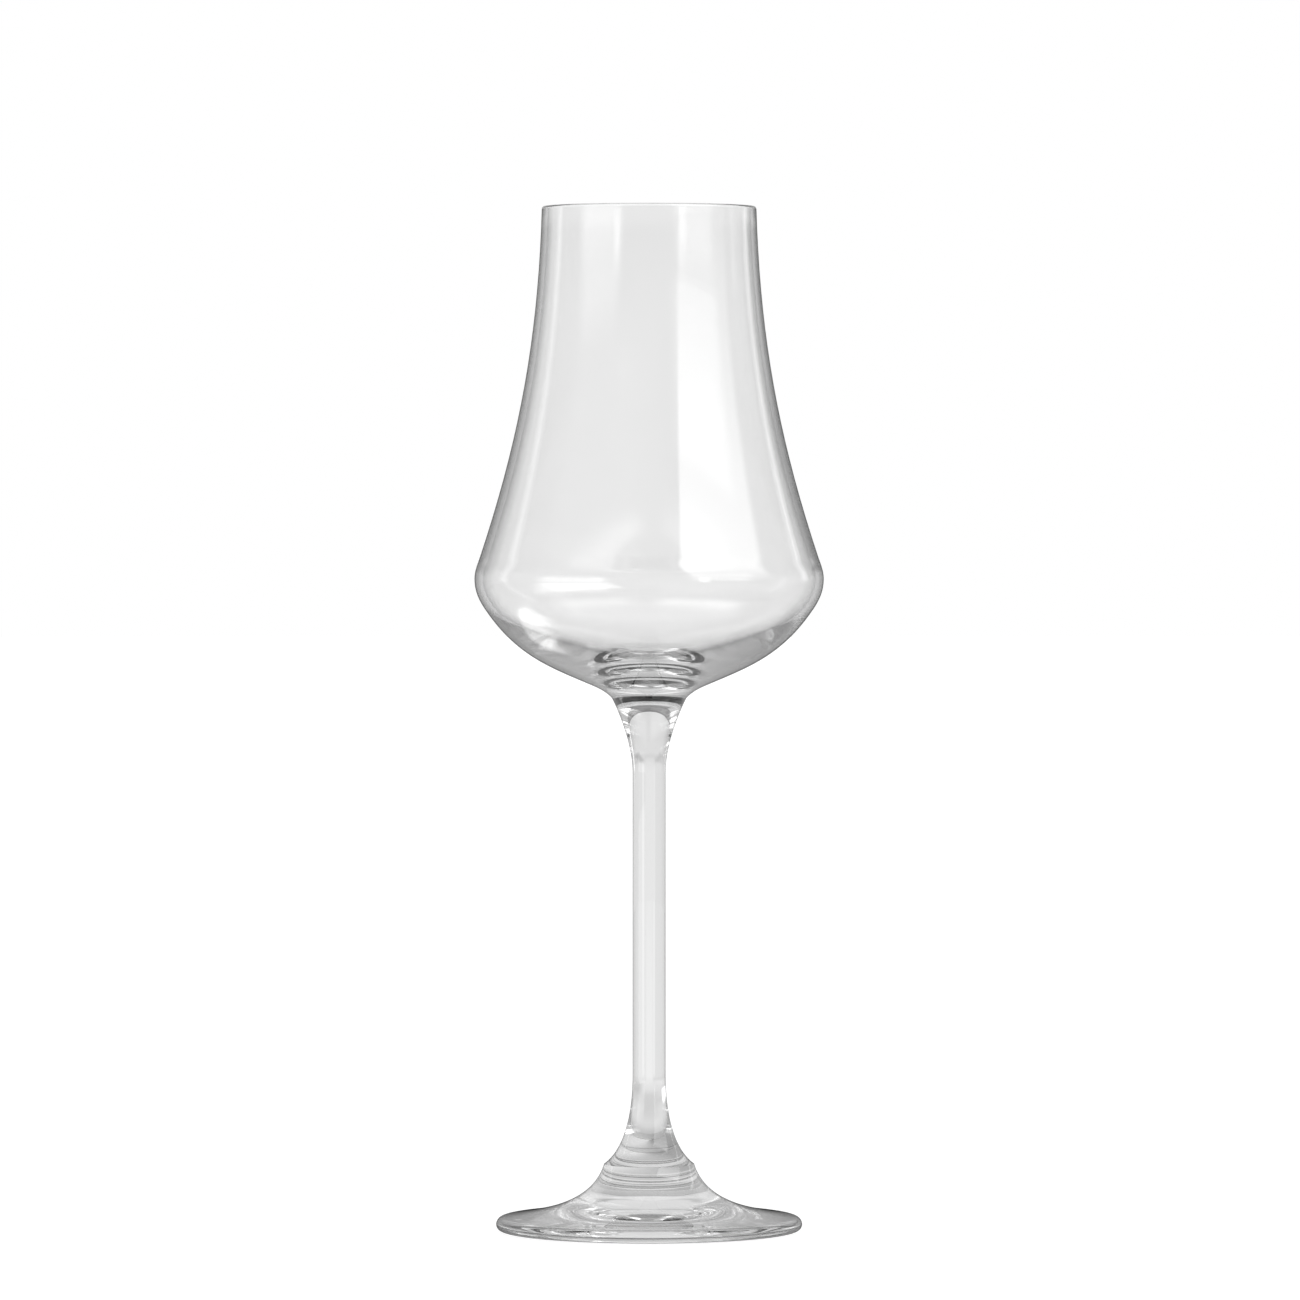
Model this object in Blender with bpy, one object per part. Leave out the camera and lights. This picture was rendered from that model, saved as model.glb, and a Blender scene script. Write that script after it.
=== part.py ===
"""Stemmed snifter glass: a blown bowl, a drawn stem and a spun foot, welded end to end while hot.

Lengths are in metres and +Z is up. The origin is the centre of the ring that the foot stands on.
Each piece is a turned outline, read as stations that a Bezier curve runs through.
"""
import math
from typing import NamedTuple

import bpy
from mathutils import Vector
from mathutils.geometry import interpolate_bezier

MM = 0.001

# The stack, from the table up
FOOT_HEIGHT = 13.45 * MM
STEM_LENGTH = 95.4 * MM
BOWL_HEIGHT = 100.55 * MM
WELD_GAP = 0.3 * MM

# The two weld rings, shared by the pieces on both sides
UPPER_WELD_RADIUS = 7.65 * MM
LOWER_WELD_RADIUS = 9.25 * MM

# Bowl, outside: heights are above the upper weld
RIM_RADIUS = 21.98 * MM
RIM_FLARE = math.radians(1.7)
BELLY_RADIUS = 35.78 * MM
BELLY_HEIGHT = 24.23 * MM
SHOULDER_INSET = 1.2 * MM
SHOULDER_RISE = 4.75 * MM
SHOULDER_FLARE = math.radians(18.3)
TURN_INSET = 2.17 * MM
TURN_DROP = 6.24 * MM
TURN_TAPER = math.radians(34.2)
FILLET_REACH = 3.58 * MM
FILLET_RISE = 2.21 * MM
FILLET_TAPER = math.radians(66.7)
BOWL_WELD_TAPER = math.radians(45.2)

# Bowl, inside
RIM_WALL = 1.2 * MM
BELLY_WALL = 1.6 * MM
TURN_WALL = 1.6 * MM
FLOOR_THICKNESS = 4.05 * MM

# Stem
SHAFT_RADIUS = 3.38 * MM
NECK_LENGTH = 15.15 * MM
NECK_TAPER = math.radians(29.3)
FLARE_LENGTH = 18.45 * MM
FLARE_ANGLE = math.radians(54)

# Foot
FOOT_RADIUS = 31.4 * MM
FOOT_SHOULDER_FLARE = math.radians(16.9)
FOOT_EDGE_FLARE = math.radians(82.3)
EDGE_TOP_ROUND = 1.53 * MM
EDGE_BOTTOM_ROUND = 1.24 * MM
STANDING_RING_WIDTH = 4.6 * MM
HOLLOW_RISE = 1.2 * MM
HOLLOW_SLOPE = math.radians(9)

# Facets: a span has a few segments, and more the further it turns
SPAN_SEGMENTS = 4
FACET_TURN = math.radians(8)
ROUND_FACET_TURN = math.radians(18)
WIDE_PIECE_SIDES = 48
STEM_SIDES = 32

# Handle lengths of the curves, as shares of the span between two stations
EASE = 0.36
SHORT_EASE = 0.05
LONG_EASE = 0.43
FLOOR_EASE = 0.03

INWARD = math.radians(-90)
WELD_MERGE = 0.01 * MM
GLASS_IOR = 1.52


class Station(NamedTuple):
    """A place on an outline that runs down the outside of a piece.

    The lean is the angle between the outline and straight down, positive where it heads outwards.
    The eases are the lengths of the curve's handles before and after the station.
    """

    radius: float
    height: float
    lean: float
    ease_before: float = EASE
    ease_after: float = EASE

    def point(self):
        return Vector((self.radius, 0, self.height))

    def heading(self):
        return Vector((math.sin(self.lean), 0, -math.cos(self.lean)))

    def inset(self, wall):
        """The matching station on the inner face of a wall."""
        radius = self.radius - wall * math.cos(self.lean)
        height = self.height - wall * math.sin(self.lean)
        return self._replace(radius=radius, height=height)


def trace(*stations):
    """Points of the smooth curve through the stations."""
    points = [stations[0].point()]
    for start, end in zip(stations, stations[1:]):
        first, last = start.point(), end.point()
        span = (last - first).length
        leave = first + start.heading() * span * start.ease_after
        arrive = last - end.heading() * span * end.ease_before
        segments = SPAN_SEGMENTS + round(abs(end.lean - start.lean) / FACET_TURN)
        points += interpolate_bezier(first, leave, arrive, last, segments + 1)[1:]
    return points


def arc(centre_radius, centre_height, radius, first_lean, last_lean):
    """Points of a round whose outline turns from the first lean to the last."""
    segments = math.ceil(abs(last_lean - first_lean) / ROUND_FACET_TURN)
    step = (last_lean - first_lean) / segments
    leans = [first_lean + step * index for index in range(segments + 1)]
    return [
        Vector((centre_radius + radius * math.cos(lean), 0, centre_height + radius * math.sin(lean)))
        for lean in leans
    ]


def on_axis(height):
    return Vector((0, 0, height))


def bowl_outline():
    """From the middle of the inner floor up to the rim, then down the outside to the upper weld."""
    lip_height = BOWL_HEIGHT - RIM_WALL / 2
    rim = Station(RIM_RADIUS, lip_height, RIM_FLARE)
    inner_rim = Station(RIM_RADIUS - RIM_WALL, lip_height, RIM_FLARE)
    shoulder = Station(BELLY_RADIUS - SHOULDER_INSET, BELLY_HEIGHT + SHOULDER_RISE, SHOULDER_FLARE)
    belly = Station(BELLY_RADIUS, BELLY_HEIGHT, 0)
    turn = Station(BELLY_RADIUS - TURN_INSET, BELLY_HEIGHT - TURN_DROP, -TURN_TAPER, ease_after=LONG_EASE)
    fillet = Station(UPPER_WELD_RADIUS + FILLET_REACH, FILLET_RISE, -FILLET_TAPER)
    weld = Station(UPPER_WELD_RADIUS, 0, -BOWL_WELD_TAPER)
    floor = Station(0, FLOOR_THICKNESS, INWARD, ease_before=FLOOR_EASE)

    outside = trace(rim, shoulder, belly, turn, fillet, weld)
    inside = trace(
        inner_rim,
        shoulder.inset(BELLY_WALL),
        belly.inset(BELLY_WALL),
        turn.inset(TURN_WALL),
        floor,
    )
    lip = arc(RIM_RADIUS - RIM_WALL / 2, lip_height, RIM_WALL / 2, math.pi, 0)
    return inside[:0:-1] + lip + outside[1:] + [on_axis(0)]


def stem_outline():
    """From the upper weld down a slim shaft to the flare over the foot."""
    upper_weld = Station(UPPER_WELD_RADIUS, STEM_LENGTH, -NECK_TAPER, ease_after=SHORT_EASE)
    shaft_top = Station(SHAFT_RADIUS, STEM_LENGTH - NECK_LENGTH, 0, ease_before=LONG_EASE)
    shaft_foot = Station(SHAFT_RADIUS, FLARE_LENGTH, 0, ease_after=EASE / 2)
    lower_weld = Station(LOWER_WELD_RADIUS, 0, FLARE_ANGLE)
    neck = trace(upper_weld, shaft_top)
    flare = trace(shaft_foot, lower_weld)
    return [on_axis(STEM_LENGTH)] + neck + flare + [on_axis(0)]


def foot_outline():
    """From the lower weld out to the round edge, then in under the foot over its shallow hollow."""
    edge_height = EDGE_BOTTOM_ROUND
    upper_edge = arc(FOOT_RADIUS - EDGE_TOP_ROUND, edge_height, EDGE_TOP_ROUND, FOOT_EDGE_FLARE, 0)
    lower_edge = arc(FOOT_RADIUS - EDGE_BOTTOM_ROUND, edge_height, EDGE_BOTTOM_ROUND, 0, INWARD)
    weld = Station(LOWER_WELD_RADIUS, FOOT_HEIGHT, FOOT_SHOULDER_FLARE)
    edge = Station(upper_edge[0].x, upper_edge[0].z, FOOT_EDGE_FLARE)
    ring_radius = FOOT_RADIUS - EDGE_BOTTOM_ROUND - STANDING_RING_WIDTH
    hollow_edge = Station(ring_radius, 0, INWARD - HOLLOW_SLOPE)
    hollow_top = Station(0, HOLLOW_RISE, INWARD)
    slope = trace(weld, edge)
    hollow = trace(hollow_edge, hollow_top)
    return [on_axis(FOOT_HEIGHT)] + slope + upper_edge[1:] + lower_edge[1:] + hollow


def clear_glass(name, tint):
    material = bpy.data.materials.new(name)
    material.use_nodes = True
    shader = material.node_tree.nodes["Principled BSDF"]
    shader.inputs["Base Color"].default_value = (*tint, 1)
    shader.inputs["Metallic"].default_value = 0
    shader.inputs["Roughness"].default_value = 0.02
    shader.inputs["IOR"].default_value = GLASS_IOR
    shader.inputs["Transmission Weight"].default_value = 1
    return material


def turned_piece(name, outline, sides, material):
    """A solid of revolution about its own Z axis, from an outline that starts and ends on the axis."""
    mesh = bpy.data.meshes.new(name)
    edges = [(index, index + 1) for index in range(len(outline) - 1)]
    mesh.from_pydata(outline, edges, [])
    mesh.materials.append(material)
    piece = bpy.data.objects.new(name, mesh)
    bpy.context.scene.collection.objects.link(piece)

    turning = piece.modifiers.new("turning", "SCREW")
    turning.axis = "Z"
    turning.angle = 2 * math.pi
    turning.steps = sides
    turning.render_steps = sides
    turning.use_merge_vertices = True
    turning.merge_threshold = WELD_MERGE
    turning.use_smooth_shade = True
    return piece


def stand_on(piece, carrier, carrier_height):
    """Sets a piece on the one that carries it, a weld gap above its top."""
    piece.parent = carrier
    piece.location.z = carrier_height + WELD_GAP


def main():
    for old in list(bpy.data.objects):
        bpy.data.objects.remove(old, do_unlink=True)

    foot = turned_piece("foot", foot_outline(), WIDE_PIECE_SIDES, clear_glass("foot_glass", (0.93, 0.94, 0.94)))
    stem = turned_piece("stem", stem_outline(), STEM_SIDES, clear_glass("stem_glass", (0.95, 0.95, 0.95)))
    bowl = turned_piece("bowl", bowl_outline(), WIDE_PIECE_SIDES, clear_glass("bowl_glass", (0.94, 0.95, 0.96)))
    stand_on(stem, foot, FOOT_HEIGHT)
    stand_on(bowl, stem, STEM_LENGTH)


main()
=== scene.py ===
"""Looks of the stemmed snifter glass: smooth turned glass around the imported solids, in a pale studio."""
import math
from typing import NamedTuple

import bpy
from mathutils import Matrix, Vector
from mathutils.geometry import interpolate_bezier


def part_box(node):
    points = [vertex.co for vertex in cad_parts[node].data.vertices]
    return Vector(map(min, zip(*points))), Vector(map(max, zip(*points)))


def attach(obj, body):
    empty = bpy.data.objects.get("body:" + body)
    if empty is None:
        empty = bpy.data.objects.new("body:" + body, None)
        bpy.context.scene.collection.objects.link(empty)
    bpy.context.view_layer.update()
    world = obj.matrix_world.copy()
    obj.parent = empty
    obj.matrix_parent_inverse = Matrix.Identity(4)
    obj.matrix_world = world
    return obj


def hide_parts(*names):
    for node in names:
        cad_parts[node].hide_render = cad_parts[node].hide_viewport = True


MM = 0.001

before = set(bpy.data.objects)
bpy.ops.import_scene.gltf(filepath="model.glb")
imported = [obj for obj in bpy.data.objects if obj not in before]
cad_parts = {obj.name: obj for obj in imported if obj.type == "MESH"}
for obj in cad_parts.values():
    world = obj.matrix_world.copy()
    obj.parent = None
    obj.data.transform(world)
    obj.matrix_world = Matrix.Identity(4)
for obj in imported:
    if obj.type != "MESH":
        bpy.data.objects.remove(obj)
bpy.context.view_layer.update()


def node_heights(node):
    low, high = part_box(node)
    return low.z, high.z


def node_radius(node):
    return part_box(node)[1].x


FOOT_BOTTOM, FOOT_TOP = node_heights("foot")
STEM_BOTTOM, STEM_TOP = node_heights("stem")
BOWL_BOTTOM, RIM_HEIGHT = node_heights("bowl")

# The solids keep a gap at each weld, and the glass closes it halfway
LOWER_WELD = (FOOT_TOP + STEM_BOTTOM) / 2
UPPER_WELD = (STEM_TOP + BOWL_BOTTOM) / 2
LOWER_WELD_RADIUS = node_radius("stem")
UPPER_WELD_RADIUS = 7.65 * MM

# Bowl
RIM_RADIUS = 21.98 * MM
RIM_FLARE = math.radians(1.7)
BELLY_RADIUS = node_radius("bowl")
BELLY_HEIGHT = BOWL_BOTTOM + 24.23 * MM
SHOULDER_INSET = 1.2 * MM
SHOULDER_RISE = 4.75 * MM
SHOULDER_FLARE = math.radians(18.3)
TURN_INSET = 2.17 * MM
TURN_DROP = 6.24 * MM
TURN_TAPER = math.radians(34.2)
FILLET_REACH = 3.58 * MM
FILLET_RISE = 2.36 * MM
FILLET_TAPER = math.radians(66.7)
BOWL_WELD_TAPER = math.radians(45.2)
RIM_WALL = 1.2 * MM
LIP_HEIGHT = RIM_HEIGHT - RIM_WALL / 2
BELLY_WALL = 1.6 * MM
TURN_WALL = 1.6 * MM
FLOOR_HEIGHT = BOWL_BOTTOM + 4.05 * MM

# Stem
SHAFT_RADIUS = 3.38 * MM
NECK_LENGTH = 15.3 * MM
NECK_TAPER = math.radians(29.3)
FLARE_LENGTH = 18.6 * MM
FLARE_ANGLE = math.radians(54)

# Foot
FOOT_RADIUS = node_radius("foot")
FOOT_SHOULDER_FLARE = math.radians(16.9)
FOOT_EDGE_FLARE = math.radians(82.3)
EDGE_TOP_ROUND = 1.53 * MM
EDGE_BOTTOM_ROUND = 1.24 * MM
STANDING_RING_WIDTH = 4.6 * MM
HOLLOW_RISE = 1.2 * MM
HOLLOW_SLOPE = math.radians(9)

# Fineness of the turned meshes
SPAN_SEGMENTS = 10
FACET_TURN = math.radians(2)
ROUND_FACET_TURN = math.radians(8)
SIDES = 192
SHARP_ANGLE = math.radians(40)
SAME_PLACE = 0.001 * MM

# Handles of the outline's curves, as shares of the distance between two stations
EASE = 0.36
SHAFT_FOOT_EASE = EASE / 2
NECK_EASE = 0.05
LONG_EASE = 0.43
FLOOR_EASE = 0.03

# The lean of an outline that heads straight for the axis
INWARD = math.radians(-90)


class Station(NamedTuple):
    """A place on an outline that runs down the outside of a piece.

    The lean is the angle between the outline and straight down, positive where it heads outwards.
    The eases are the lengths of the curve's handles before and after the station.
    """

    radius: float
    height: float
    lean: float
    ease_before: float = EASE
    ease_after: float = EASE

    def point(self):
        return Vector((self.radius, 0, self.height))

    def heading(self):
        return Vector((math.sin(self.lean), 0, -math.cos(self.lean)))

    def inset(self, wall):
        """The matching station on the inner face of a wall."""
        radius = self.radius - wall * math.cos(self.lean)
        height = self.height - wall * math.sin(self.lean)
        return self._replace(radius=radius, height=height)


def trace(*stations):
    """Points of the smooth curve through the stations."""
    points = [stations[0].point()]
    for start, end in zip(stations, stations[1:]):
        first, last = start.point(), end.point()
        span = (last - first).length
        leave = first + start.heading() * span * start.ease_after
        arrive = last - end.heading() * span * end.ease_before
        segments = SPAN_SEGMENTS + round(abs(end.lean - start.lean) / FACET_TURN)
        points += interpolate_bezier(first, leave, arrive, last, segments + 1)[1:]
    return points


def arc(centre_radius, centre_height, radius, first_lean, last_lean):
    """Points of a round whose outline turns from the first lean to the last."""
    segments = math.ceil(abs(last_lean - first_lean) / ROUND_FACET_TURN)
    step = (last_lean - first_lean) / segments
    leans = [first_lean + step * index for index in range(segments + 1)]
    return [
        Vector((centre_radius + radius * math.cos(lean), 0, centre_height + radius * math.sin(lean)))
        for lean in leans
    ]


def on_axis(height):
    return Vector((0, 0, height))


def bowl_outline():
    """From the floor up the inner face, over the lip and down the outside to the weld."""
    rim = Station(RIM_RADIUS, LIP_HEIGHT, RIM_FLARE)
    inner_rim = Station(RIM_RADIUS - RIM_WALL, LIP_HEIGHT, RIM_FLARE)
    shoulder = Station(BELLY_RADIUS - SHOULDER_INSET, BELLY_HEIGHT + SHOULDER_RISE, SHOULDER_FLARE)
    belly = Station(BELLY_RADIUS, BELLY_HEIGHT, 0)
    turn = Station(BELLY_RADIUS - TURN_INSET, BELLY_HEIGHT - TURN_DROP, -TURN_TAPER, ease_after=LONG_EASE)
    fillet = Station(UPPER_WELD_RADIUS + FILLET_REACH, UPPER_WELD + FILLET_RISE, -FILLET_TAPER)
    weld = Station(UPPER_WELD_RADIUS, UPPER_WELD, -BOWL_WELD_TAPER)
    floor = Station(0, FLOOR_HEIGHT, INWARD, ease_before=FLOOR_EASE)
    outside = trace(rim, shoulder, belly, turn, fillet, weld)
    inside = trace(
        inner_rim,
        shoulder.inset(BELLY_WALL),
        belly.inset(BELLY_WALL),
        turn.inset(TURN_WALL),
        floor,
    )
    lip = arc(RIM_RADIUS - RIM_WALL / 2, LIP_HEIGHT, RIM_WALL / 2, math.pi, 0)
    return inside[:0:-1] + lip + outside[1:] + [on_axis(UPPER_WELD)]


def stem_outline():
    """Down the trumpet of the neck, the straight shaft and the flare over the foot."""
    upper_weld = Station(UPPER_WELD_RADIUS, UPPER_WELD, -NECK_TAPER, ease_after=NECK_EASE)
    shaft_top = Station(SHAFT_RADIUS, UPPER_WELD - NECK_LENGTH, 0, ease_before=LONG_EASE)
    shaft_foot = Station(SHAFT_RADIUS, LOWER_WELD + FLARE_LENGTH, 0, ease_after=SHAFT_FOOT_EASE)
    lower_weld = Station(LOWER_WELD_RADIUS, LOWER_WELD, FLARE_ANGLE)
    neck = trace(upper_weld, shaft_top)
    flare = trace(shaft_foot, lower_weld)
    return [on_axis(UPPER_WELD)] + neck + flare + [on_axis(LOWER_WELD)]


def foot_outline():
    """Down the cone, round the edge, across the standing ring and up into the hollow."""
    edge_height = FOOT_BOTTOM + EDGE_BOTTOM_ROUND
    upper_edge = arc(FOOT_RADIUS - EDGE_TOP_ROUND, edge_height, EDGE_TOP_ROUND, FOOT_EDGE_FLARE, 0)
    lower_edge = arc(FOOT_RADIUS - EDGE_BOTTOM_ROUND, edge_height, EDGE_BOTTOM_ROUND, 0, INWARD)
    weld = Station(LOWER_WELD_RADIUS, LOWER_WELD, FOOT_SHOULDER_FLARE)
    edge = Station(upper_edge[0].x, upper_edge[0].z, FOOT_EDGE_FLARE)
    ring_radius = FOOT_RADIUS - EDGE_BOTTOM_ROUND - STANDING_RING_WIDTH
    hollow_edge = Station(ring_radius, FOOT_BOTTOM, INWARD - HOLLOW_SLOPE)
    hollow_top = Station(0, FOOT_BOTTOM + HOLLOW_RISE, INWARD)
    slope = trace(weld, edge)
    hollow = trace(hollow_edge, hollow_top)
    return [on_axis(LOWER_WELD)] + slope + upper_edge[1:] + lower_edge[1:] + hollow


def turned_mesh(name, outline):
    """A closed mesh turned from an outline whose two ends lie on the axis."""
    rings = outline[1:-1]
    verts = [outline[0]]
    for point in rings:
        for side in range(SIDES):
            angle = 2 * math.pi * side / SIDES
            verts.append((point.x * math.cos(angle), point.x * math.sin(angle), point.z))
    verts.append(outline[-1])
    last_vert = len(verts) - 1
    last_ring = len(rings) - 1

    def at(ring, side):
        return 1 + ring * SIDES + side % SIDES

    faces = []
    for side in range(SIDES):
        faces.append((0, at(0, side), at(0, side + 1)))
        faces.append((last_vert, at(last_ring, side + 1), at(last_ring, side)))
    for ring in range(last_ring):
        for side in range(SIDES):
            faces.append((at(ring, side), at(ring + 1, side), at(ring + 1, side + 1), at(ring, side + 1)))
    mesh = bpy.data.meshes.new(name)
    mesh.from_pydata(verts, [], faces)
    mesh.shade_smooth()
    mesh.set_sharp_from_angle(angle=SHARP_ANGLE)
    return mesh


# The order of a piece's materials. Only the bowl has the last two
OUTSIDE, WELD, LIP, INSIDE = range(4)


def face_heights(mesh, face):
    return [mesh.vertices[index].co.z for index in face.vertices]


def mark_welds(mesh, weld_heights):
    """Give the faces in a weld's plane the material of a weld."""
    for face in mesh.polygons:
        heights = face_heights(mesh, face)
        for weld_height in weld_heights:
            if all(abs(height - weld_height) < SAME_PLACE for height in heights):
                face.material_index = WELD


def mark_lip_and_inside(mesh):
    """Give the bowl's rounded lip, and the face that looks at the axis, materials of their own."""
    for face in mesh.polygons:
        if min(face_heights(mesh, face)) > LIP_HEIGHT - SAME_PLACE:
            face.material_index = LIP
        elif face.material_index == OUTSIDE and face.normal.xy.dot(face.center.xy) < 0:
            face.material_index = INSIDE


class OutlineShade(NamedTuple):
    """A tone that holds from face on to the start, and falls to another at the end, nearer edge on: painted
    shade that darkens the glass's outlines.
    """

    start: float
    end: float
    face_on: float
    edge_on: float


class GlassTintAndOutlineShade(NamedTuple):
    """Clear glass: the tint of the light through it and of the coat that dims that light and the gloss,
    each with painted shade that darkens where the glass is seen edge on.
    """

    body: OutlineShade
    skin: OutlineShade


# Face-on tints of the glass, greyer in the stem and foot, and painted shade on the outlines where the glass
# is seen edge on
BOWL_TINT_AND_OUTLINE_SHADE = GlassTintAndOutlineShade(OutlineShade(0.54, 0.8, 0.96, 0.1), OutlineShade(0.77, 0.92, 0.97, 0.885))
LIP_TINT_AND_OUTLINE_SHADE = GlassTintAndOutlineShade(OutlineShade(0.62, 0.95, 0.97, 0.8), OutlineShade(0.77, 0.92, 0.985, 0.975))
INNER_TINT_AND_OUTLINE_SHADE = GlassTintAndOutlineShade(OutlineShade(0.62, 0.95, 0.96, 0.8), OutlineShade(0.77, 0.92, 0.97, 0.95))
STEM_TINT_AND_OUTLINE_SHADE = GlassTintAndOutlineShade(OutlineShade(0.62, 0.95, 0.84, 0.12), OutlineShade(0.74, 0.9, 0.95, 0.86))
FOOT_TINT_AND_OUTLINE_SHADE = GlassTintAndOutlineShade(OutlineShade(0.62, 0.95, 0.86, 0.12), OutlineShade(0.78, 0.92, 0.982, 0.9))
GLASS_IOR = 1.52
RIPPLE_SCALE = (70, 70, 22)
RIPPLE_HEIGHT = 0.03 * MM
RING_SCALE = 50
RING_UNEVENNESS = 1.5
RING_HEIGHT = 0.025 * MM
PATTERN_DETAIL = 1


def grey(level):
    return (level, level, level, 1)


def outline_shade_colour(tree, facing, outline_shade):
    """A grey that follows how far a face is turned from the ray that meets it: painted shade, darker nearer
    edge on.
    """
    tone = tree.nodes.new("ShaderNodeValToRGB")
    tone.color_ramp.interpolation = "LINEAR"
    first, last = tone.color_ramp.elements
    first.position = outline_shade.start
    first.color = grey(outline_shade.face_on)
    last.position = outline_shade.end
    last.color = grey(outline_shade.edge_on)
    tree.links.new(facing, tone.inputs["Fac"])
    return tone.outputs["Color"]


def upright_waves(tree, place):
    """The faint upright waves of glass that was drawn and turned while soft."""
    stretch = tree.nodes.new("ShaderNodeMapping")
    stretch.inputs["Scale"].default_value = RIPPLE_SCALE
    waves = tree.nodes.new("ShaderNodeTexNoise")
    waves.inputs["Scale"].default_value = 1
    waves.inputs["Detail"].default_value = PATTERN_DETAIL
    tree.links.new(place, stretch.inputs["Vector"])
    tree.links.new(stretch.outputs["Vector"], waves.inputs["Vector"])
    return waves.outputs["Fac"], RIPPLE_HEIGHT


def spun_rings(tree, place):
    """The faint rings of glass that was spun flat."""
    rings = tree.nodes.new("ShaderNodeTexWave")
    rings.wave_type = "RINGS"
    rings.rings_direction = "Z"
    rings.inputs["Scale"].default_value = RING_SCALE
    rings.inputs["Distortion"].default_value = RING_UNEVENNESS
    rings.inputs["Detail"].default_value = PATTERN_DETAIL
    tree.links.new(place, rings.inputs["Vector"])
    return rings.outputs["Fac"], RING_HEIGHT


def relief(tree, pattern):
    place = tree.nodes.new("ShaderNodeTexCoord")
    height, rise = pattern(tree, place.outputs["Object"])
    bump = tree.nodes.new("ShaderNodeBump")
    bump.inputs["Distance"].default_value = rise
    tree.links.new(height, bump.inputs["Height"])
    return bump.outputs["Normal"]


def glass(name, tint_and_outline_shade, pattern):
    """Clear glass whose base colour and coat tint darken the flatter it is passed: painted shade on its
    outlines.
    """
    material = bpy.data.materials.new(name)
    material.use_nodes = True
    tree = material.node_tree
    shader = tree.nodes["Principled BSDF"]
    shader.inputs["Roughness"].default_value = 0
    shader.inputs["IOR"].default_value = GLASS_IOR
    shader.inputs["Transmission Weight"].default_value = 1
    shader.inputs["Coat Weight"].default_value = 1
    shader.inputs["Coat Roughness"].default_value = 0
    shader.inputs["Coat IOR"].default_value = 1
    weight = tree.nodes.new("ShaderNodeLayerWeight")
    facing = weight.outputs["Facing"]
    # Base colour and coat tint follow the facing: painted shade that darkens the outlines
    tree.links.new(outline_shade_colour(tree, facing, tint_and_outline_shade.body), shader.inputs["Base Color"])
    tree.links.new(outline_shade_colour(tree, facing, tint_and_outline_shade.skin), shader.inputs["Coat Tint"])
    tree.links.new(relief(tree, pattern), shader.inputs["Normal"])
    return material


def weld_film():
    """The welded faces are one glass, so light passes them unbent."""
    material = bpy.data.materials.new("weld")
    material.use_nodes = True
    tree = material.node_tree
    tree.nodes.clear()
    clear = tree.nodes.new("ShaderNodeBsdfTransparent")
    output = tree.nodes.new("ShaderNodeOutputMaterial")
    tree.links.new(clear.outputs[0], output.inputs["Surface"])
    return material


def glass_piece(name, node, mesh, materials):
    """A turned piece of glass that stands for a solid."""
    for material in materials:
        mesh.materials.append(material)
    piece = bpy.data.objects.new(name, mesh)
    bpy.context.scene.collection.objects.link(piece)
    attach(piece, "root")
    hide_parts(node)


def make_bowl(weld_material):
    mesh = turned_mesh("bowl_blown", bowl_outline())
    mark_welds(mesh, [UPPER_WELD])
    mark_lip_and_inside(mesh)
    outside = glass("bowl_clear", BOWL_TINT_AND_OUTLINE_SHADE, upright_waves)
    lip = glass("lip_clear", LIP_TINT_AND_OUTLINE_SHADE, upright_waves)
    inside = glass("inner_clear", INNER_TINT_AND_OUTLINE_SHADE, upright_waves)
    glass_piece("bowl_blown", "bowl", mesh, [outside, weld_material, lip, inside])


def make_stem(weld_material):
    mesh = turned_mesh("stem_drawn", stem_outline())
    mark_welds(mesh, [UPPER_WELD, LOWER_WELD])
    outside = glass("stem_clear", STEM_TINT_AND_OUTLINE_SHADE, upright_waves)
    glass_piece("stem_drawn", "stem", mesh, [outside, weld_material])


def make_foot(weld_material):
    mesh = turned_mesh("foot_spun", foot_outline())
    mark_welds(mesh, [LOWER_WELD])
    outside = glass("foot_clear", FOOT_TINT_AND_OUTLINE_SHADE, spun_rings)
    glass_piece("foot_spun", "foot", mesh, [outside, weld_material])


weld_clear = weld_film()
make_bowl(weld_clear)
make_stem(weld_clear)
make_foot(weld_clear)

# Camera
EYE_HEIGHT = 156.4 * MM
EYE_DISTANCE = 1708 * MM
AIM_HEIGHT = 119.1 * MM
AIM_SIDE = 0.18 * MM
FIELD_OF_VIEW = math.radians(8.92)


def make_camera():
    data = bpy.data.cameras.new("camera")
    data.sensor_fit = "HORIZONTAL"
    data.angle = FIELD_OF_VIEW
    camera = bpy.data.objects.new("camera", data)
    bpy.context.scene.collection.objects.link(camera)
    camera.location = (AIM_SIDE, -EYE_DISTANCE, EYE_HEIGHT)
    aim = Vector((AIM_SIDE, 0, AIM_HEIGHT)) - camera.location
    camera.rotation_euler = aim.to_track_quat("-Z", "Y").to_euler()
    bpy.context.scene.camera = camera


make_camera()

# Studio: a pale tent of light over a pale card on the table, with brighter and darker panels on both
TENT_RADIUS = 1500 * MM
TENT_CENTRE = Vector((0, 0, 150 * MM))
TENT_LOWEST = -6
TENT_HIGHEST = 90
TENT_STEP = 2
CARD_RADIUS = 1490 * MM
CARD_HOLE = 1 * MM
CARD_DROP = 0.1 * MM
CARD_RINGS = 60
CARD_SIDES = 180
BASE_LEVEL = 0.6

# Sides and ends past the edge of the sheet, where a panel runs on
ALL_ROUND = (-300, 300)
PAST_FRONT = 400
UNDER_TENT = -30
OVER_TENT = 130
CARD_MIDDLE = -99
PAST_CARD = 3000


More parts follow.
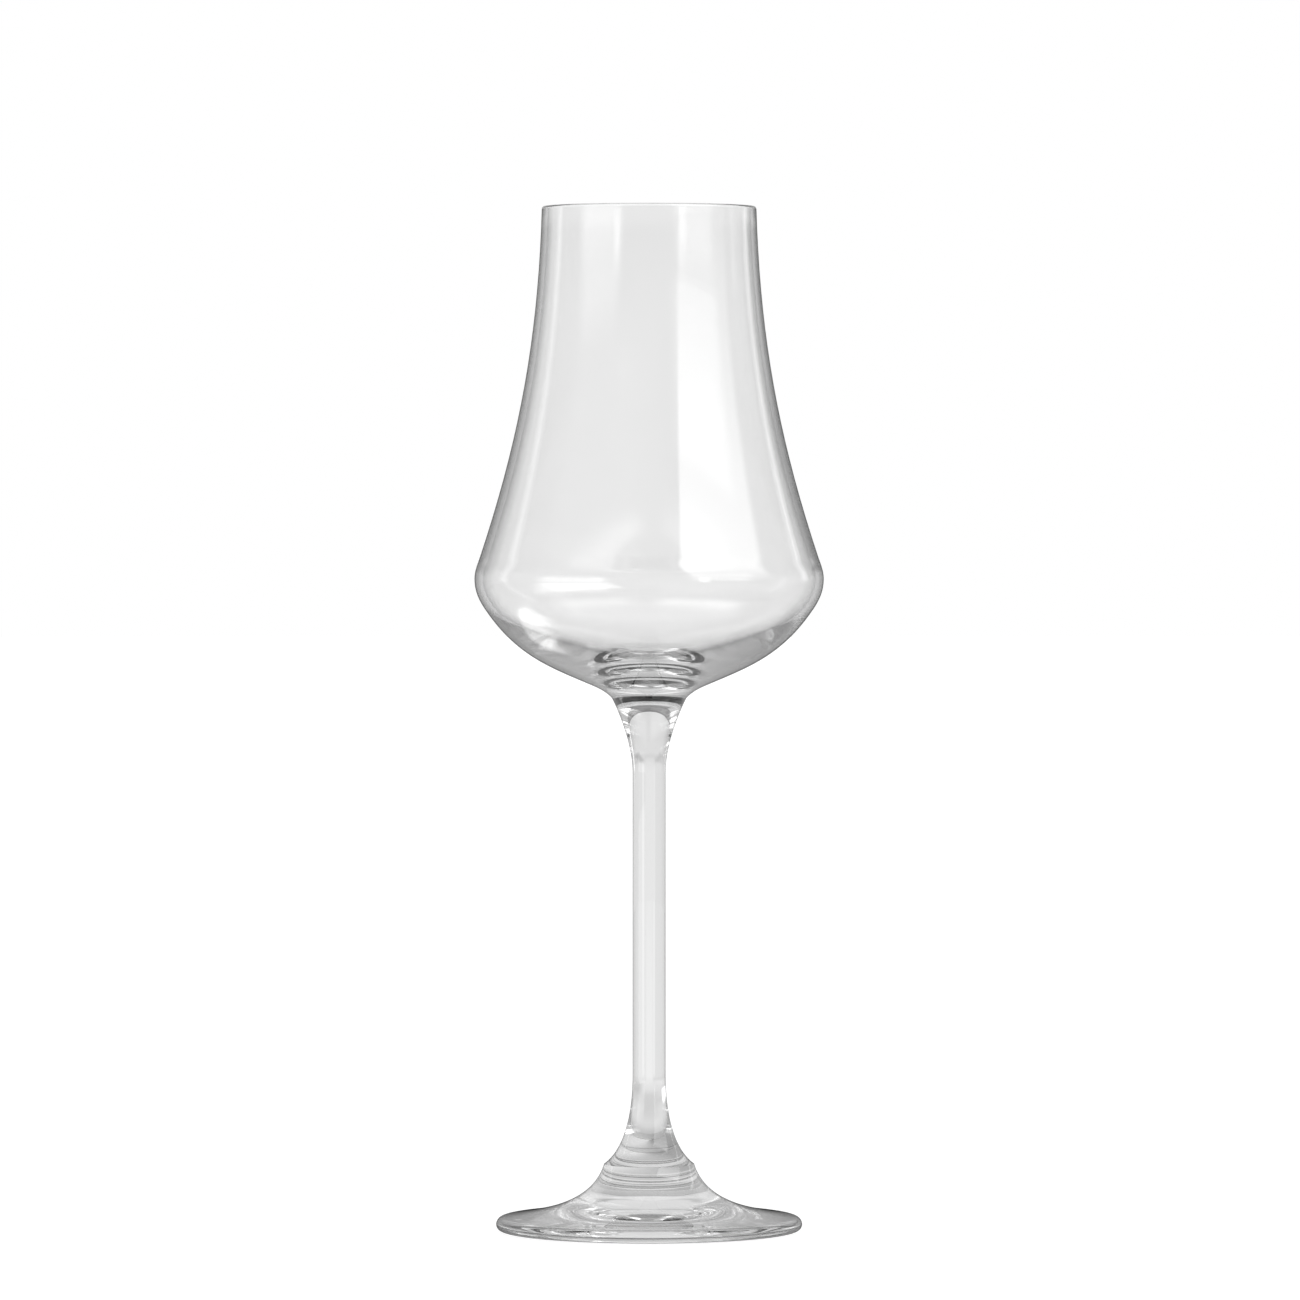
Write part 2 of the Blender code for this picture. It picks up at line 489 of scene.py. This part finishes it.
class Panel(NamedTuple):
    """A soft-edged panel of the studio, which covers those before it.

    Its sides are bearings in degrees from straight behind the glass, at its near end and at its far end.
    Its ends are degrees above the horizon on the tent, and millimetres from the glass on the card.
    Its levels are those of the two ends.
    """

    near_sides: tuple
    far_sides: tuple
    ends: tuple
    levels: tuple
    side_blur: float
    end_blur: float


def graded(sides, ends, levels, side_blur, end_blur):
    """A panel with upright sides, whose level changes from its near end to its far end."""
    return Panel(sides, sides, ends, levels, side_blur, end_blur)


def even(sides, ends, level, side_blur, end_blur):
    """A panel with upright sides and one level."""
    return graded(sides, ends, (level, level), side_blur, end_blur)


def band(ends, level, end_blur):
    """A panel of one level that runs all round."""
    return even(ALL_ROUND, ends, level, 1, end_blur)


TENT_PANELS = [
    # The tent all round, darker overhead
    band((UNDER_TENT, 14), 0.8, 8),
    band((14, 36), 0.8, 8),
    band((36, 66), 0.5, 8),
    band((66, OVER_TENT), 0.6, 8),
    # Paler walls at the sides
    even((-120, -50), (UNDER_TENT, 14), 0.95, 25, 6),
    even((50, 120), (UNDER_TENT, 14), 0.85, 25, 6),
    # White wall behind the glass, with two bright strips low down and a dark edge above
    even((-50, 70), (UNDER_TENT, 3), 1, 30, 3),
    even((-14, -10), (UNDER_TENT, 3), 1.2, 3, 3),
    even((13, 17), (UNDER_TENT, 3), 1.14, 3, 3),
    graded((-40, 40), (6, 36), (1, 0.92), 20, 6),
    even((-70, 70), (38, 66), 0.3, 25, 8),
    # Upper walls in front, pale on the left and grey on the right
    even((-170, -100), (16, 60), 0.95, 20, 8),
    even((100, 170), (16, 60), 0.6, 20, 8),
    # Window low behind the glass, between two slanting grey flags that deepen the bowl's outlines
    graded((-14, 9), (-9, 4.5), (1.1, 1), 7, 2.5),
    Panel((9, 18), (27, 48), (2.4, 9.5), (0.6, 0.6), 6, 2.5),
    Panel((-18, -10), (-48, -28), (2.4, 9.5), (0.75, 0.75), 6, 2.5),
    # Slim upright lamps at the sides
    even((51, 57), (-2, 40), 1.9, 1.5, 3),
    even((-71, -64), (-3, 32), 1.7, 1.5, 3),
    # Broad lamp in front on the right, brighter upwards, with a slim bright strip at its foot
    Panel((93, 146), (92, 158), (-4, 42), (0.3, 4.2), 3, 6),
    Panel((140, 146), (140, 148), (-4, 10), (3, 2.4), 1.5, 4),
    # Low lamp in front on the left
    graded((-149, -103), (-4, 9), (2.6, 3.2), 14, 6),
    graded((-147, -108), (9, 14), (2.4, 1.6), 14, 8),
]

CARD_PANELS = [
    # Under the foot, pale on the right and grey on the left: painted shadow of the glass, seen only through
    # it
    band((CARD_MIDDLE, 32), 0.5, 16),
    even((0, 110), (CARD_MIDDLE, 34), 1, 50, 10),
    even((-130, -12), (CARD_MIDDLE, 34), 0.45, 50, 10),
    # The card all round, grey near the glass and paler with distance: painted shadow around the foot
    band((32, 110), 0.52, 30),
    graded(ALL_ROUND, (110, 330), (0.6, 0.85), 1, 80),
    band((330, PAST_CARD), 0.85, 140),
    # White card behind the foot, greyer in the middle
    even((-60, 60), (42, 130), 1, 30, 40),
    graded((-60, 60), (130, 330), (1, 1.06), 30, 60),
    even((-20, 20), (70, 190), 0.85, 30, 60),
    # White card farther back, with the wall's two bright strips carried on
    even((-56, 50), (330, PAST_CARD), 1.02, 30, 140),
    even((-14, -10), (400, PAST_CARD), 1.2, 3, 140),
    even((13, 17), (400, PAST_CARD), 1.14, 3, 140),
    # Greyer card in front
    even((110, PAST_FRONT), (45, 400), 0.7, 30, 60),
    even((-PAST_FRONT, -110), (45, 400), 0.7, 30, 60),
    even((110, PAST_FRONT), (400, PAST_CARD), 0.8, 30, 120),
    even((-PAST_FRONT, -110), (400, PAST_CARD), 0.8, 30, 120),
    # Bright strip under the window, and a grey patch on its right
    graded((-9, 8), (300, 1600), (1.18, 1.1), 6, 200),
    even((18, 60), (150, 300), 0.75, 20, 80),
    # Bright patches, one behind on the left, two in front on the left and one in front on the right
    even((-70, -40), (112, 190), 3.4, 10, 30),
    even((-152, -100), (300, 1500), 2.5, 14, 140),
    even((-165, -112), (110, 175), 2, 24, 60),
    even((106, 172), (105, 160), 2.5, 24, 50),
]


def soft_step(value, edge, blur):
    """Zero before the edge and one after it, with a smooth rise as wide as the blur."""
    share = min(1, max(0, (value - edge) / blur + 0.5))
    return share * share * (3 - 2 * share)


def between(pair, share):
    return pair[0] + (pair[1] - pair[0]) * share


def studio_level(panels, azimuth, place):
    """The level of a sheet at a bearing, and at a height on the tent or a distance on the card."""
    level = BASE_LEVEL
    for panel in panels:
        near, far = panel.ends
        along = min(1, max(0, (place - near) / (far - near)))
        left = between((panel.near_sides[0], panel.far_sides[0]), along)
        right = between((panel.near_sides[1], panel.far_sides[1]), along)
        cover = soft_step(azimuth, left, panel.side_blur) * soft_step(-azimuth, -right, panel.side_blur)
        cover *= soft_step(place, near, panel.end_blur) * soft_step(-place, -far, panel.end_blur)
        level += (between(panel.levels, along) - level) * cover
    return level


def glow_material(name):
    """A surface that shines as its own level attribute says."""
    material = bpy.data.materials.new(name)
    material.use_nodes = True
    material.cycles.emission_sampling = "NONE"
    tree = material.node_tree
    tree.nodes.clear()
    level = tree.nodes.new("ShaderNodeAttribute")
    level.attribute_name = "level"
    glow = tree.nodes.new("ShaderNodeEmission")
    output = tree.nodes.new("ShaderNodeOutputMaterial")
    tree.links.new(level.outputs["Fac"], glow.inputs["Strength"])
    tree.links.new(glow.outputs[0], output.inputs["Surface"])
    return material


def stage_sheet(name, rings, levels):
    """A sheet of quads between rings of points, kept out of the camera's own sight."""
    around = len(rings[0])
    faces = []
    for row in range(len(rings) - 1):
        for side in range(around):
            here = row * around + side
            after = row * around + (side + 1) % around
            faces.append((here, after, after + around, here + around))
    mesh = bpy.data.meshes.new(name)
    mesh.from_pydata([point for ring in rings for point in ring], [], faces)
    attribute = mesh.attributes.new("level", "FLOAT", "POINT")
    attribute.data.foreach_set("value", [level for ring in levels for level in ring])
    mesh.materials.append(glow_material(name))
    sheet = bpy.data.objects.new(name, mesh)
    bpy.context.scene.collection.objects.link(sheet)
    sheet.visible_camera = False
    return sheet


def bearing(azimuth):
    return Vector((math.sin(math.radians(azimuth)), math.cos(math.radians(azimuth)), 0))


def make_tent():
    azimuths = range(-180, 180, TENT_STEP)
    rings = []
    levels = []
    for elevation in range(TENT_LOWEST, TENT_HIGHEST + 1, TENT_STEP):
        out = math.cos(math.radians(elevation))
        rise = Vector((0, 0, math.sin(math.radians(elevation))))
        rings.append([TENT_CENTRE + TENT_RADIUS * (bearing(azimuth) * out + rise) for azimuth in azimuths])
        levels.append([studio_level(TENT_PANELS, azimuth, elevation) for azimuth in azimuths])
    stage_sheet("tent", rings, levels)


def make_card():
    """The card's rings lie closer together near the glass."""
    azimuths = [360 * side / CARD_SIDES - 180 for side in range(CARD_SIDES)]
    drop = Vector((0, 0, -CARD_DROP))
    rings = []
    levels = []
    for ring in range(CARD_RINGS + 1):
        radius = CARD_HOLE + (CARD_RADIUS - CARD_HOLE) * (ring / CARD_RINGS) ** 2
        rings.append([bearing(azimuth) * radius + drop for azimuth in azimuths])
        levels.append([studio_level(CARD_PANELS, azimuth, radius / MM) for azimuth in azimuths])
    card = stage_sheet("table_card", rings, levels)
    card.visible_shadow = False
    card.visible_diffuse = False


make_tent()
make_card()

# Floor and background, both white to the camera
FLOOR_HALF = 6000 * MM
FLOOR_DROP = 0.2 * MM
FLOOR_GLOW = 0.85
FLOOR_MATT = 0.3


def floor_material():
    """A matt floor that also shines evenly, so that it is white and still takes a faint shadow."""
    material = bpy.data.materials.new("floor")
    material.use_nodes = True
    tree = material.node_tree
    tree.nodes.clear()
    glow = tree.nodes.new("ShaderNodeEmission")
    glow.inputs["Strength"].default_value = FLOOR_GLOW
    matt = tree.nodes.new("ShaderNodeBsdfDiffuse")
    matt.inputs["Color"].default_value = grey(FLOOR_MATT)
    both = tree.nodes.new("ShaderNodeAddShader")
    output = tree.nodes.new("ShaderNodeOutputMaterial")
    tree.links.new(glow.outputs[0], both.inputs[0])
    tree.links.new(matt.outputs[0], both.inputs[1])
    tree.links.new(both.outputs[0], output.inputs["Surface"])
    return material


def make_floor():
    corners = [
        (-FLOOR_HALF, -FLOOR_HALF, 0),
        (FLOOR_HALF, -FLOOR_HALF, 0),
        (FLOOR_HALF, FLOOR_HALF, 0),
        (-FLOOR_HALF, FLOOR_HALF, 0),
    ]
    mesh = bpy.data.meshes.new("floor")
    mesh.from_pydata(corners, [], [(0, 1, 2, 3)])
    mesh.materials.append(floor_material())
    floor = bpy.data.objects.new("floor", mesh)
    bpy.context.scene.collection.objects.link(floor)
    floor.location.z = -FLOOR_DROP


def make_world():
    world = bpy.data.worlds.new("studio")
    bpy.context.scene.world = world
    world.use_nodes = True
    tree = world.node_tree
    tree.nodes.clear()
    shade = tree.nodes.new("ShaderNodeBackground")
    shade.inputs["Color"].default_value = grey(1)
    shade.inputs["Strength"].default_value = 1
    output = tree.nodes.new("ShaderNodeOutputWorld")
    tree.links.new(shade.outputs[0], output.inputs["Surface"])


make_floor()
make_world()

# Light passes many faces on its way through the glass
GLASS_BOUNCES = 64
WELD_BOUNCES = 32

scene = bpy.context.scene
scene.view_settings.view_transform = "Standard"
scene.cycles.max_bounces = GLASS_BOUNCES
scene.cycles.transmission_bounces = GLASS_BOUNCES
scene.cycles.glossy_bounces = GLASS_BOUNCES
scene.cycles.transparent_max_bounces = WELD_BOUNCES
